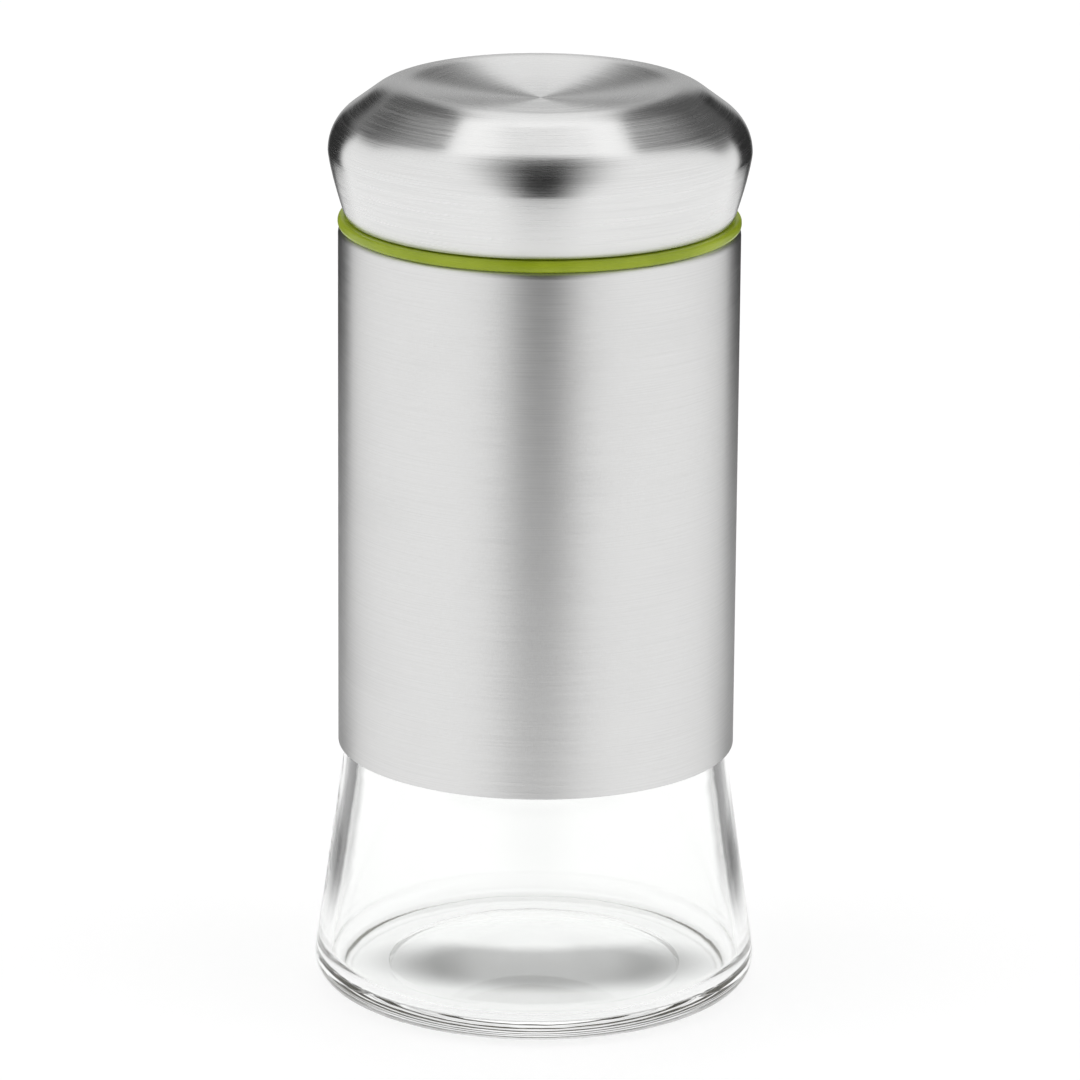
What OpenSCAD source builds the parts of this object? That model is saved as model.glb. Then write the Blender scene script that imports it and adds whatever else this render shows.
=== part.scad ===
// Table shaker for ground pepper: a glass jar with a flared foot, dressed in a brushed steel
// sleeve, closed by a perforated insert and a brushed steel screw cap over a green ring.
// The table is z = 0 and the shaker's axis is +Z. Sizes are in millimetres, angles in degrees.

/* [Glass jar] */
// Diameter of the straight glass body under the sleeve
jar_d = 52.2; // [46:0.1:60]
// Thickness of the glass side wall
wall_t = 2.2; // [1.6:0.1:3]
// How far the flared foot stands out past the straight body
foot_flare = 4.1; // [2:0.1:8]
// Radius of the rounded heel of the foot
heel_r = 3.3; // [2:0.1:5]
// Height at which the flare runs into the straight body
flare_h = 33.4; // [20:0.1:50]
// Height of the flat shoulder, where the neck starts
shoulder_h = 105.4; // [80:0.1:130]
// Radius of the shoulder's outer edge
shoulder_round = 1.2; // [0.6:0.1:2]
// Thickness of the glass floor
floor_t = 2.2; // [1.8:0.1:5]
// Radius between the floor and the wall inside
floor_fillet = 3; // [1:0.1:5]
// Width of the flat ring that the foot stands on
stand_w = 6.9; // [4:0.1:10]
// Height of the domed hollow under the base
punt_h = 2.6; // [1:0.1:4]

/* [Neck and thread] */
// How far the neck is drawn in from the straight body
neck_inset = 5.1; // [4.6:0.1:7]
// Height of the neck above the shoulder
neck_h = 12; // [10:0.1:18]
// Thickness of the neck's wall
neck_wall = 2.5; // [1.8:0.1:3.2]
// Radius of the lip's rounded edges
lip_round = 0.7; // [0.3:0.1:1.2]
// Number of thread ridges round the neck
thread_starts = 4; // [3:1:6]
// Distance between two neighbouring ridges along the axis
thread_pitch = 3.5; // [3.3:0.1:4]
// How far a thread ridge stands out of the neck
thread_h = 1; // [0.7:0.05:1.3]
// Height of a ridge or lug at its root
thread_root_w = 1.6; // [1.2:0.05:1.7]
// Height of a ridge or lug at its crest
thread_crest_w = 0.8; // [0.5:0.05:1]
// Angle that one ridge covers
thread_sweep = 100; // [70:1:110]
// Free space between ridges and lugs
thread_gap = 0.4; // [0.3:0.05:0.5]
// Angle that one lug of the cap covers
lug_sweep = 24; // [16:1:36]
// Height of a lug's lower edge above the liner's lower edge
lug_edge = 0.2; // [0.1:0.05:0.6]

/* [Steel sleeve] */
// Thickness of the sleeve's sheet
sleeve_t = 0.4; // [0.3:0.05:0.8]
// How far the sleeve's turned-in edge reaches onto the flat of the shoulder
sleeve_seat = 0.9; // [0.5:0.1:1.4]
// Space left open between the flare and the sleeve's lower edge
sleeve_foot_gap = 0.4; // [0.1:0.1:2]
// Thickness of the adhesive bands behind the sleeve
bond_t = 0.5; // [0.2:0.05:1]
// Height of one adhesive band
bond_h = 9; // [4:0.5:16]
// Distance of each band from the sleeve's nearer end
bond_inset = 6; // [3:0.5:12]

/* [Green ring] */
// Height of the ring
ring_h = 1.5; // [1:0.05:3]
// How far the ring stands out past the sleeve
ring_overhang = 0.05; // [0:0.05:0.6]
// Radius of the ring's rounded outer edges
ring_round = 0.65; // [0.3:0.05:1.2]
// Space between the ring and the neck
ring_fit = 0.1; // [0.05:0.05:0.4]

/* [Shaker insert] */
// Thickness of the flange on the jar's lip
flange_t = 0.9; // [0.6:0.05:1.6]
// How far the flange ends inside the neck's outer face
flange_inset = 0.6; // [0.2:0.1:1.2]
// Depth of the plug below the lip
plug_depth = 7; // [5:0.1:12]
// Thickness of the plug's wall
plug_wall = 1.2; // [0.8:0.1:2]
// Space between the plug and the mouth
plug_fit = 0.1; // [0.05:0.05:0.3]
// Radius of the two sealing beads round the plug
bead_r = 0.35; // [0.2:0.05:0.6]
// Depth of the perforated plate below the flange's top
plate_drop = 2.9; // [1.5:0.1:4]
// Thickness of the perforated plate
plate_t = 1; // [0.8:0.1:1.6]
// Diameter of one shaking hole
hole_d = 2.5; // [1:0.1:3]
// Distance between the rings of holes
hole_pitch = 5.2; // [4:0.1:7]
// Rings of holes round the middle one
hole_rings = 2; // [1:1:2]
// Holes in the first ring; each further ring has this many more
ring_holes = 6; // [4:1:8]

/* [Cap] */
// How far the cap's widest line stands out past the sleeve
cap_overhang = 1.35; // [0:0.05:5]
// How far the cap's lower edge is drawn in from the sleeve
cap_inset = 0.9; // [0.5:0.05:1.4]
// Height from the cap's widest line to its highest circle
crown_h = 9.05; // [8:0.05:11]
// How far the highest circle lies inside the widest line
rim_inset = 9.95; // [9:0.05:12]
// Radius of the rounded rim
rim_round = 6.8; // [4:0.1:7.5]
// Radius of the shoulder below the rim
cap_round = 6.6; // [4:0.1:8]
// Depth of the dish in the cap's top
dish_h = 2; // [0.8:0.1:3]
// How sharply the waist draws in towards the lower edge
waist_power = 1.3; // [1.1:0.1:2.4]
// Thickness of the cap's sheet
shell_t = 0.5; // [0.4:0.05:0.8]
// Width of the hem that is turned in under the liner
hem_w = 1.6; // [1:0.1:2]
// Space between the cap and the green ring
cap_gap = 0.1; // [0.05:0.05:0.3]

/* [Liner and seal] */
// Thickness of the liner's wall and roof
liner_t = 1.2; // [0.9:0.1:1.6]
// Height of the liner's lower rim
liner_rim_h = 1.2; // [0.8:0.1:2]
// Space between the liner and the steel shell
liner_fit = 0.25; // [0.1:0.05:0.4]
// Number of ribs round the liner
liner_ribs = 12; // [6:1:24]
// Thickness of one rib
liner_rib_t = 1.2; // [0.8:0.1:2]
// Thickness of the sealing disc
seal_t = 1.2; // [0.8:0.1:2]
// Space between the sealing disc and its neighbours
seal_gap = 0.05; // [0.02:0.01:0.1]
// Diameter of the adhesive pad between the liner and the shell
pad_d = 16; // [8:0.5:24]
// Thickness of the adhesive pad at its middle
pad_t = 2; // [1.6:0.05:3]

/* [Hidden] */
$fn = 96;
// Steps of one arc in a profile, and of one turn of a thread
arc_steps = 10;
turn_steps = 60;
// How deep ridges and lugs are rooted in their wall, and how far a cut runs past a face
root_bite = 0.5;
cut_over = 1;
// Share of a ridge at each end over which it rises to its full height, and its height at the end
// itself, as a share of the height from the root, which leaves the end inside the wall
ridge_ramp = 0.16;
ridge_end = 0.15;

// Jar
jar_r = jar_d / 2;
inner_r = jar_r - wall_t;
neck_r = jar_r - neck_inset;
mouth_r = neck_r - neck_wall;
lip_z = shoulder_h + neck_h;
lip_edge = min(lip_round, neck_wall / 2);
heel_c = [jar_r + foot_flare - heel_r, heel_r];
// The hollow and the floor above it are parts of spheres
punt_r = heel_c.x - stand_w;
punt_ball = (punt_r * punt_r + punt_h * punt_h) / (2 * punt_h);
punt_a = asin(punt_r / punt_ball);
// Direction square to the flare, which leaves the heel's circle and ends at the straight body
flare_run = [jar_r, flare_h] - heel_c;
flare_a = atan2(flare_run.y, flare_run.x) - acos(heel_r / norm(flare_run));
flare_n = [cos(flare_a), sin(flare_a)];
fillet_z = floor_t + floor_fillet;
fillet_c = [(flare_n * [inner_r, flare_h] - floor_fillet - flare_n.y * fillet_z) / flare_n.x, fillet_z];
inner_round = inner_r - mouth_r;
inner_shoulder_z = shoulder_h - wall_t - inner_round;

// Sleeve, its adhesive and the ring
sleeve_in_r = jar_r + bond_t;
sleeve_r = sleeve_in_r + sleeve_t;
sleeve_z = flare_h + sleeve_foot_gap;
sleeve_top = shoulder_h + sleeve_t;
sleeve_bend = sleeve_t + bond_t;
sleeve_lip_r = jar_r - shoulder_round - sleeve_seat;
ring_r = sleeve_r + ring_overhang;
ring_top = sleeve_top + ring_h;
ring_edge = min(ring_round, ring_h / 2);

// Shaker insert
plug_r = mouth_r - plug_fit;
flange_r = neck_r - flange_inset;
flange_top = lip_z + flange_t;
plate_top = flange_top - plate_drop;
plug_z = lip_z - plug_depth;
bead_proud = plug_fit / 2;

// Sealing disc and liner, from the insert up
liner_in_r = neck_r + thread_h + thread_gap;
liner_out_r = liner_in_r + liner_t;
seal_z = flange_top + seal_gap;
roof_z = seal_z + seal_t + seal_gap;
liner_top = roof_z + liner_t;

// Cap: its lower edge stands on the ring and its dish on the adhesive pad
cap_z = ring_top + cap_gap;
cap_top = liner_top + pad_t + shell_t + dish_h;
cap_base_r = sleeve_r - cap_inset;
wide_r = sleeve_r + cap_overhang;
wide_z = cap_top - crown_h;
rim_r = wide_r - rim_inset;
rim_c = [rim_r, cap_top - rim_round];
cap_round_c = [wide_r - cap_round, wide_z];
// Slope of the cone that touches both the rim's and the shoulder's circle
cone_run = cap_round_c - rim_c;
cone_a = asin((rim_round - cap_round) / norm(cone_run)) + atan2(-cone_run.y, cone_run.x);
// The dish is part of a sphere that meets the rim's circle smoothly
dish_far = (rim_r * rim_r + dish_h * dish_h) / (2 * dish_h);
dish_r = dish_far - rim_round;
dish_c = [0, cap_top - dish_h + dish_r];
dish_a = asin(rim_r / dish_far);
liner_z = cap_z + shell_t + seal_gap;
liner_rim_r = cap_base_r - shell_t - liner_fit;
rib_top = min(wide_z, liner_top - liner_t);

// Thread: the lugs hang below the middle of their ridges
thread_lead = thread_pitch * thread_starts;
lug_drop = (thread_root_w + thread_crest_w) / 2 + thread_gap;
lug_start = (thread_sweep - lug_sweep) / 2;
lug_z = liner_z + lug_edge + thread_root_w / 2;
thread_z = lug_z + lug_drop - rise(lug_start);

// Points of an arc round c, from angle a to angle b
function arc(c, r, a, b) =
    [for (i = [0:arc_steps]) let (t = a + (b - a) * i / arc_steps) c + r * [cos(t), sin(t)]];

// Points in the opposite order
function backwards(points) = [for (i = [len(points) - 1:-1:0]) points[i]];

// Height of a thread line at an angle from its start
function rise(angle) = thread_lead * angle / 360;

// Half profile of the glass, outside from the axis to the lip and back down inside
function jar_outside() = concat(
    arc([0, punt_h - punt_ball], punt_ball, 90, 90 - punt_a),
    arc(heel_c, heel_r, -90, flare_a),
    [[jar_r, flare_h]],
    arc([jar_r, shoulder_h] - shoulder_round * [1, 1], shoulder_round, 0, 90),
    [[neck_r, shoulder_h]],
    arc([neck_r, lip_z] - lip_edge * [1, 1], lip_edge, 0, 90));
function jar_inside() = concat(
    arc([mouth_r + lip_edge, lip_z - lip_edge], lip_edge, 90, 180),
    arc([mouth_r, inner_shoulder_z], inner_round, 90, 0),
    [[inner_r, flare_h]],
    arc(fillet_c, floor_fillet, flare_a, -90),
    arc([0, floor_t + punt_h - punt_ball], punt_ball, 90 - punt_a, 90));

// The cap's outside, or a line at depth t inside its sheet, from the axis down to height z
function waist_r(z) = wide_r + (cap_base_r - wide_r) * pow((wide_z - z) / (wide_z - cap_z), waist_power);
function cap_line(t, z) = concat(
    arc(dish_c, dish_r + t, -90, dish_a - 90),
    arc(rim_c, rim_round - t, 90 + dish_a, 90 - cone_a),
    arc(cap_round_c, cap_round - t, 90 - cone_a, 0),
    [for (i = [1:arc_steps]) let (h = wide_z + (z - wide_z) * i / arc_steps) [waist_r(h) - t, h]]);

// A ridge along the thread line: height w0 at radius r0, inside its wall, and w1 at its crest r1
module thread_ridge(r0, r1, w0, w1, sweep) {
    n = ceil(turn_steps * sweep / 360);
    rings = [for (i = [0:n]) let (
        share = i / n,
        swell = min(1, ridge_end + (1 - ridge_end) * min(share, 1 - share) / ridge_ramp),
        a = sweep * share,
        root = r0 + sign(r0 - r1) * root_bite,
        crest = root + (r1 - root) * swell,
        section = [[root, -w0 / 2], [crest, -w1 / 2], [crest, w1 / 2], [root, w0 / 2]])
        for (p = section) [p.x * cos(a), p.x * sin(a), p.y + rise(a)]];
    corners = len(rings) / (n + 1);
    last = corners * n;
    sides = [for (i = [0:n - 1], k = [0:corners - 1])
        let (a = corners * i + k, b = corners * i + (k + 1) % corners)
        each [[a, a + corners, b + corners], [a, b + corners, b]]];
    ends = [[0, 1, 2], [0, 2, 3], [last, last + 2, last + 1], [last, last + 3, last + 2]];
    faces = concat(sides, ends);
    polyhedron(rings, r1 < r0 ? faces : [for (f = faces) backwards(f)]);
}

// One copy for each start of the thread
module each_start() {
    for (k = [0:thread_starts - 1]) rotate(360 * k / thread_starts) children();
}

// A plain ring between two radii and two heights
module hoop(r_in, r_out, z0, z1) {
    rotate_extrude() translate([r_in, z0]) square([r_out - r_in, z1 - z0]);
}

module glass_jar() {
    color("lightcyan", 0.5) {
        rotate_extrude() polygon(concat(jar_outside(), jar_inside()));
        translate([0, 0, thread_z]) each_start()
            thread_ridge(neck_r, neck_r + thread_h, thread_root_w, thread_crest_w, thread_sweep);
    }
}

// A rolled tube whose upper edge is turned in and rests on the jar's shoulder
module steel_sleeve() {
    bend_c = [sleeve_r - sleeve_bend, sleeve_top - sleeve_bend];
    color("silver") rotate_extrude() polygon(concat(
        [[sleeve_in_r, sleeve_z], [sleeve_r, sleeve_z]],
        arc(bend_c, sleeve_bend, 0, 90),
        [[sleeve_lip_r, sleeve_top], [sleeve_lip_r, shoulder_h]],
        arc(bend_c, sleeve_bend - sleeve_t, 90, 0)));
}

module sleeve_bond_lower() {
    z = sleeve_z + bond_inset;
    color("ivory") hoop(jar_r, sleeve_in_r, z, z + bond_h);
}

module sleeve_bond_upper() {
    z = sleeve_top - bond_inset - bond_h;
    color("ivory") hoop(jar_r, sleeve_in_r, z, z + bond_h);
}

module green_ring() {
    edge_r = ring_r - ring_edge;
    color("yellowgreen") rotate_extrude() polygon(concat(
        [[neck_r + ring_fit, sleeve_top]],
        arc([edge_r, sleeve_top + ring_edge], ring_edge, -90, 0),
        arc([edge_r, ring_top - ring_edge], ring_edge, 0, 90),
        [[neck_r + ring_fit, ring_top]]));
}

// A hollow plug with a flange on the lip, two sealing beads and a sunk plate full of holes
module shaker_insert() {
    skirt_r = plug_r - plug_wall;
    bead_zs = [for (share = [1, 2] / 3) lip_z - plug_depth * share];
    color("white") difference() {
        rotate_extrude() {
            polygon([[0, plate_top - plate_t], [skirt_r, plate_top - plate_t], [skirt_r, plug_z],
                     [plug_r, plug_z], [plug_r, lip_z], [flange_r, lip_z], [flange_r, flange_top],
                     [skirt_r, flange_top], [skirt_r, plate_top], [0, plate_top]]);
            for (z = bead_zs) translate([plug_r + bead_proud - bead_r, z]) circle(bead_r);
        }
        translate([0, 0, plate_top - plate_t - cut_over]) for (ring = [0:hole_rings]) {
            count = max(1, ring_holes * ring);
            for (k = [1:count]) rotate(360 * k / count) translate([ring * hole_pitch, 0, 0])
                cylinder(d = hole_d, h = plate_t + 2 * cut_over);
        }
    }
}

module cap_seal_disc() {
    color("whitesmoke") translate([0, 0, seal_z]) cylinder(r = liner_in_r - thread_gap, h = seal_t);
}

// The cap's threaded inner cup: its lower rim stands on the hem, and ribs fill the shell's waist
module cap_liner() {
    chamfer = liner_t / 2;
    color("gainsboro") {
        rotate_extrude() polygon([
            [0, roof_z], [liner_in_r, roof_z], [liner_in_r, liner_z], [liner_rim_r, liner_z],
            [liner_rim_r, liner_z + liner_rim_h], [liner_out_r, liner_z + liner_rim_h],
            [liner_out_r, liner_top - chamfer], [liner_out_r - chamfer, liner_top], [0, liner_top]]);
        for (k = [0:liner_ribs - 1]) rotate(360 * k / liner_ribs)
            translate([liner_in_r + liner_t / 2, -liner_rib_t / 2, liner_z + liner_rim_h / 2])
                cube([liner_rim_r - liner_in_r - liner_t / 2 - liner_fit, liner_rib_t,
                      rib_top - liner_z - liner_rim_h / 2]);
        translate([0, 0, lug_z]) rotate(lug_start) each_start()
            thread_ridge(liner_in_r, liner_in_r - thread_h, thread_root_w, thread_crest_w, lug_sweep);
    }
}

// Adhesive between the liner's roof and the underside of the dish
module cap_bond_pad() {
    pad_a = asin(pad_d / 2 / (dish_r + shell_t));
    color("ivory") rotate_extrude() polygon(concat(
        [[0, liner_top], [pad_d / 2, liner_top]],
        arc(dish_c, dish_r + shell_t + seal_gap, pad_a - 90, -90)));
}

// A spun sheet: dish, rounded rim, cone, shoulder and waist, with a hem under the liner's rim
module cap_shell() {
    color("silver") rotate_extrude() polygon(concat(
        cap_line(0, cap_z),
        [[cap_base_r - hem_w, cap_z], [cap_base_r - hem_w, cap_z + shell_t]],
        backwards(cap_line(shell_t, cap_z + shell_t))));
}

glass_jar();
steel_sleeve();
sleeve_bond_lower();
sleeve_bond_upper();
green_ring();
shaker_insert();
cap_seal_disc();
cap_liner();
cap_bond_pad();
cap_shell();
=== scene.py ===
"""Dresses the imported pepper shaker: clear glass, brushed steel, green silicone and moulded plastic.

Every new piece is a surface worked out as whole arrays, in metres, in the frame's own axes:
+Z is the shaker's axis, -Y points to the camera and +X to the camera's right.
"""

import logging
import math
from abc import ABC, abstractmethod
from collections.abc import Mapping, Sequence
from dataclasses import dataclass, field
from enum import Enum
from typing import ClassVar

import bmesh
import bpy
import numpy as np
from mathutils import Matrix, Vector
from mathutils.geometry import delaunay_2d_cdt


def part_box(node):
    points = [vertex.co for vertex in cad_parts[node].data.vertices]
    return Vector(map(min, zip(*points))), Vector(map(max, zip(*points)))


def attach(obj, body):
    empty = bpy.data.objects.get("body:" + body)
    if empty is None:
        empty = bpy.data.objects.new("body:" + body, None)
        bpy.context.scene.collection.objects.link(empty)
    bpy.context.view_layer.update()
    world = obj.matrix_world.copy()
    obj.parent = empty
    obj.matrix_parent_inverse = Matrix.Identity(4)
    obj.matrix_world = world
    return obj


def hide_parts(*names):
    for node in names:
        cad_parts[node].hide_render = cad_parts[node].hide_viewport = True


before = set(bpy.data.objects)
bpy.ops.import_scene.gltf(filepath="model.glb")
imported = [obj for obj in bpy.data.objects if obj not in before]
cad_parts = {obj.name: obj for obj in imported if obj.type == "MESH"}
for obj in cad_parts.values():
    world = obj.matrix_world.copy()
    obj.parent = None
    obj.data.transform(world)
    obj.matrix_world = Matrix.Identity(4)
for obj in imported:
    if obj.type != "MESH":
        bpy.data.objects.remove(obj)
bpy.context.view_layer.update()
LOG = logging.getLogger("shaker")

Array = np.ndarray
Socket = bpy.types.NodeSocket
Colour = tuple[float, float, float, float]
Corner = tuple[float, float, float]
Span = tuple[float, float]
MM = 0.001
FULL_TURN = 2 * math.pi
TINY = 1e-9
SAME_POINT = 1e-7
SHARP_ANGLE = math.radians(40)
BOUNCES = 32
NOTHING = np.zeros((0, 1))


class Body(Enum):
    """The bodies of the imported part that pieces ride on."""

    JAR = "jar"
    SEAL = "seal"
    CAP = "cap"


@dataclass(frozen=True)
class Reach:
    """How far a CAD node reaches from the axis, and its lowest and highest point."""

    radius: float
    low: float
    high: float

    @classmethod
    def of(cls, node: str) -> "Reach":
        """The reach of the named CAD node at rest."""
        low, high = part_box(node)
        return cls(radius=max(high.x, high.y), low=low.z, high=high.z)


# Surfaces


@dataclass
class Surface:
    """A mesh held as whole arrays.

    Attributes:
        points: One row (x, y, z) for each point.
        faces: Arrays of point numbers, one for the four-sided and one for the three-sided faces.
    """

    points: Array
    faces: list[Array]

    @classmethod
    def joined(cls, parts: Sequence["Surface"]) -> "Surface":
        """One surface that holds all the parts, each part's faces moved on by the points before it."""
        starts = np.cumsum([0] + [len(part.points) for part in parts[:-1]])
        return cls(np.concatenate([part.points for part in parts]),
                   [face + start for part, start in zip(parts, starts) for face in part.faces])

    def to_object(self, name: str, weld: float = 0.0) -> bpy.types.Object:
        """Puts the arrays into a new object of the scene.

        Args:
            name: Name of the object and its mesh.
            weld: Distance within which points are made one, or 0 to leave them.

        Returns:
            The object, at the origin, with its place in its mesh.
        """
        mesh = bpy.data.meshes.new(name)
        mesh.from_pydata(self.points.tolist(), [], [row for face in self.faces for row in face.tolist()])
        if weld:
            work = bmesh.new()
            work.from_mesh(mesh)
            bmesh.ops.remove_doubles(work, verts=work.verts, dist=weld)
            work.to_mesh(mesh)
            work.free()
        mesh.polygons.foreach_set("use_smooth", np.ones(len(mesh.polygons), bool))
        mesh.set_sharp_from_angle(angle=SHARP_ANGLE)
        mesh.validate()
        obj = bpy.data.objects.new(name, mesh)
        bpy.context.scene.collection.objects.link(obj)
        return obj


def turn(steps: int) -> Array:
    """Angles of one full turn in even steps, from +X towards +Y."""
    return np.arange(steps) * FULL_TURN / steps


def upright(radius: float, heights: Array) -> Array:
    """Rows (r, z) of a straight wall: the same radius at each of the heights."""
    return np.stack([np.full_like(heights, radius), heights], axis=1)


def arc(centre: Sequence[float], radius: float, start: float, end: float, steps: int = 24) -> Array:
    """Points of an arc: the centre plus the radius times (cos, sin) of even angles, in degrees."""
    angles = np.radians(np.linspace(start, end, steps + 1))
    return np.asarray(centre) + radius * np.stack([np.cos(angles), np.sin(angles)], axis=1)


def rounded(corners: Sequence[Corner], closed: bool = False, steps: int = 8) -> Array:
    """A line through corners, each replaced by an arc that touches both of its edges.

    With unit vectors a and b from a corner P to its neighbours and f the angle between them, the
    arc's middle lies on their bisector at radius / sin(f / 2) from P, and the arc runs between the
    points at radius / tan(f / 2) along a and b. Directions from the middle are blended so that
    they stay on the circle.

    Args:
        corners: Rows of r, z and the corner's radius; 0 keeps the corner sharp.
        closed: True if the last corner is joined to the first.
        steps: Steps of each arc.

    Returns:
        One row (r, z) for each point, without doubled points.
    """
    rows = np.asarray(corners, float)
    spots, radii = rows[:, :2], rows[:, 2:].copy()
    before, after = np.roll(spots, 1, axis=0) - spots, np.roll(spots, -1, axis=0) - spots
    a = before / np.linalg.norm(before, axis=1, keepdims=True)
    b = after / np.linalg.norm(after, axis=1, keepdims=True)
    if not closed:
        radii[[0, -1]] = 0
    half = np.arccos(np.clip((a * b).sum(axis=1, keepdims=True), -1, 1)) / 2
    bisector = (a + b) / np.maximum(np.linalg.norm(a + b, axis=1, keepdims=True), TINY)
    middle = spots + bisector * radii / np.maximum(np.sin(half), TINY)
    reach = radii / np.maximum(np.tan(half), TINY)
    swing = (math.pi - 2 * half)[:, None]
    share = np.linspace(0, 1, steps + 1)[None, :, None]
    line = middle[:, None]
    for way, weight in ((a, 1 - share), (b, share)):
        from_middle = (spots + way * reach - middle)[:, None]
        line = line + from_middle * np.sin(weight * swing) / np.maximum(np.sin(swing), TINY)
    line = line.reshape(-1, 2)
    fresh = np.linalg.norm(line - np.roll(line, 1, axis=0), axis=1) > SAME_POINT
    fresh[0] = True
    return line[fresh]


def revolve(profile: Array, angles: Array, proud: Array = NOTHING, start: int = 0,
            closed: bool = True) -> Surface:
    """Carries a half profile round the axis: x = r cos u, y = r sin u, z = z, with r the
    profile's radius plus what stands proud of it at that point and angle.

    Args:
        profile: Rows (r, z), anticlockwise round the solid with r to the right and z up, so that
            faces point outwards. A profile that starts on the axis also ends there, and these two
            points become poles.
        angles: The angles u of one turn.
        proud: Added to the radius of some of the profile's points, one row for each of them and
            one column for each angle.
        start: The first of these points.
        closed: True if a profile off the axis is closed from its last point to its first.

    Returns:
        The surface.
    """
    on_axis = profile[0, 0] < TINY
    rows = profile[1:-1] if on_axis else profile
    lift = np.zeros((len(profile), len(angles)))
    lift[start:start + len(proud)] = proud
    radius = rows[:, :1] + (lift[1:-1] if on_axis else lift)
    height = np.broadcast_to(rows[:, 1:], radius.shape)
    points = np.stack([radius * np.cos(angles), radius * np.sin(angles), height], axis=-1)
    points = points.reshape(-1, 3)
    near = np.arange(radius.size).reshape(radius.shape)
    if closed and not on_axis:
        near = np.concatenate([near, near[:1]])
    beside = np.roll(near, -1, axis=1)
    quads = np.stack([near[:-1], beside[:-1], beside[1:], near[1:]], axis=-1).reshape(-1, 4)
    if not on_axis:
        return Surface(points, [quads])
    first, last = len(points), len(points) + 1
    poles = [[0.0, 0.0, profile[0, 1]], [0.0, 0.0, profile[-1, 1]]]
    fans = np.concatenate([
        np.stack([np.full_like(near[0], first), beside[0], near[0]], axis=-1),
        np.stack([near[-1], beside[-1], np.full_like(near[0], last)], axis=-1)])
    return Surface(np.concatenate([points, poles]), [quads, fans])


@dataclass(frozen=True)
class Thread:
    """A thread of several ridges, which are short stretches of helix with a trapezoid section."""

    starts: int = 4
    lead: float = 14 * MM
    height: float = 1.0 * MM
    root: float = 1.6 * MM
    crest: float = 0.8 * MM
    ramp: float = 0.14
    row: float = 0.14 * MM

    def ridges(self, z: Array, angles: Array, base: float, start: float, sweep: float) -> Array:
        """How far the ridges stand out of a wall.

        For each ridge, the angle since its start gives the height of its line. Across the line
        the ridge falls from its crest to its root along straight flanks, and along the line it
        swells at its start and fades at its end.

        Args:
            z: Heights on the wall.
            angles: Angles round the wall.
            base: Height at which a ridge's line starts.
            start: Angle at which the first ridge starts, in degrees.
            sweep: Angle that a ridge covers, in degrees.

        Returns:
            One row for each height and one column for each angle.
        """
        offsets = start + 360 / self.starts * np.arange(self.starts)
        since = (np.degrees(angles)[None, :] - offsets[:, None]) % 360
        share = since / sweep
        swell = np.clip(np.minimum(share, 1 - share) / self.ramp, 0, 1)
        swell = swell * swell * (3 - 2 * swell)
        off = np.abs(z[None, :, None] - (base + self.lead * since / 360)[:, None, :])
        flank = np.clip((self.root / 2 - off) / ((self.root - self.crest) / 2), 0, 1)
        return (self.height * flank * swell[:, None, :]).max(axis=0)


# Nodes of materials


def grey(level: float) -> Colour:
    """A grey of the given level."""
    return (level, level, level, 1.0)


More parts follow.
